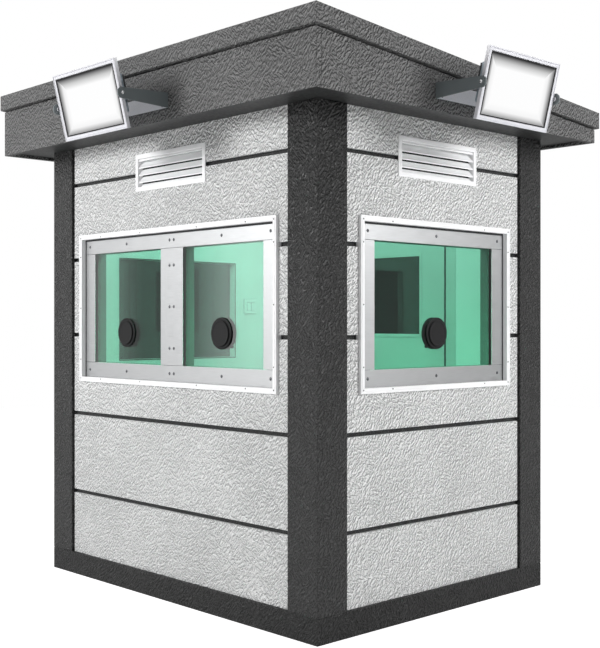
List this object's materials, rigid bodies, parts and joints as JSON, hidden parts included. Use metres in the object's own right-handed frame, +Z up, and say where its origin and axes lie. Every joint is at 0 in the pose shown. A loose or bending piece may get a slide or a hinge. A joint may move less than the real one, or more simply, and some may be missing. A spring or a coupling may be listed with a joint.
{
  "type": "security guard booth",
  "caption": "Prefabricated guard booth: textured cladding between corner posts, thick green glazing with voice ports, louvre vents, overhanging sloped roof, rear door, tilting floodlights.",
  "frame": {"origin": "centre of the footprint of the base frame, at ground level", "axes": "+Z up; the front wall with the two-pane window faces -Y; the one-pane wall with a floodlight faces +X; the door is in the rear wall, facing +Y"},
  "size_m": [2.4346, 2.0046, 2.2773],
  "materials": {
    "charcoal_textured_coating": "semi-gloss hammered coating",
    "floor_rubber": "studded matt",
    "wall_core": "insulated composite, dark outside and pale inside",
    "light_grey_cladding": "satin textured coating",
    "white_coated_aluminium": "white powder coat",
    "white_louvre": "white powder coat",
    "satin_steel_plate": "satin",
    "green_armour_glass": "polished laminated",
    "smoked_glass": "polished tinted",
    "black_plastic": "fine-grained",
    "door_paint": "satin powder coat",
    "handle_steel": "satin",
    "switch_plastic": "gloss",
    "bracket_steel": "satin",
    "lamp_aluminium": "white powder coat",
    "lamp_panel": "lit diffuser"
  },
  "bodies": {
    "booth": {"base_frame": "charcoal_textured_coating", "floor": "floor_rubber", "post_front_left": "charcoal_textured_coating", "post_front_right": "charcoal_textured_coating", "post_rear_left": "charcoal_textured_coating", "post_rear_right": "charcoal_textured_coating", "front_wall": "wall_core", "right_wall": "wall_core", "left_wall": "wall_core", "rear_wall_left": "wall_core", "rear_wall_right": "wall_core", "rear_wall_head": "wall_core", "front_cladding": "light_grey_cladding", "right_cladding": "light_grey_cladding", "left_cladding": "light_grey_cladding", "rear_cladding": "light_grey_cladding", "front_window_frame": "white_coated_aluminium", "right_window_frame": "white_coated_aluminium", "left_window_frame": "white_coated_aluminium", "front_window_plates": "satin_steel_plate", "right_window_plates": "satin_steel_plate", "left_window_plates": "satin_steel_plate", "front_glass": "green_armour_glass", "right_glass": "green_armour_glass", "left_glass": "smoked_glass", "front_voice_ports": "black_plastic", "right_voice_port": "black_plastic", "front_vent": "white_louvre", "right_vent": "white_louvre", "left_vent": "white_louvre", "ceiling": "charcoal_textured_coating", "fascia_front": "charcoal_textured_coating", "fascia_rear": "charcoal_textured_coating", "fascia_left": "charcoal_textured_coating", "fascia_right": "charcoal_textured_coating", "roof_cap": "charcoal_textured_coating", "door_frame": "door_paint", "light_switch": "switch_plastic", "front_light_bracket": "bracket_steel", "right_light_bracket": "bracket_steel"},
    "door": {"door_leaf": "door_paint", "door_glass": "smoked_glass", "door_handle": "handle_steel"},
    "front_light": {"front_light_housing": "lamp_aluminium", "front_light_lens": "lamp_panel"},
    "right_light": {"right_light_housing": "lamp_aluminium", "right_light_lens": "lamp_panel"}
  },
  "joints": [
    {"name": "door_swing", "type": "hinge", "parent": "booth", "child": "door", "pos_m": [0.447, 0.71, 0], "axis": [0, 0, -1], "range_deg": [0, 105]},
    {"name": "front_light_tilt", "type": "hinge", "parent": "booth", "child": "front_light", "pos_m": [0, -1.085, 2.065], "axis": [1, 0, 0], "range_deg": [-40, 45]},
    {"name": "right_light_tilt", "type": "hinge", "parent": "booth", "child": "right_light", "pos_m": [1.3, 0, 2.065], "axis": [0, 1, 0], "range_deg": [-40, 45]}
  ]
}
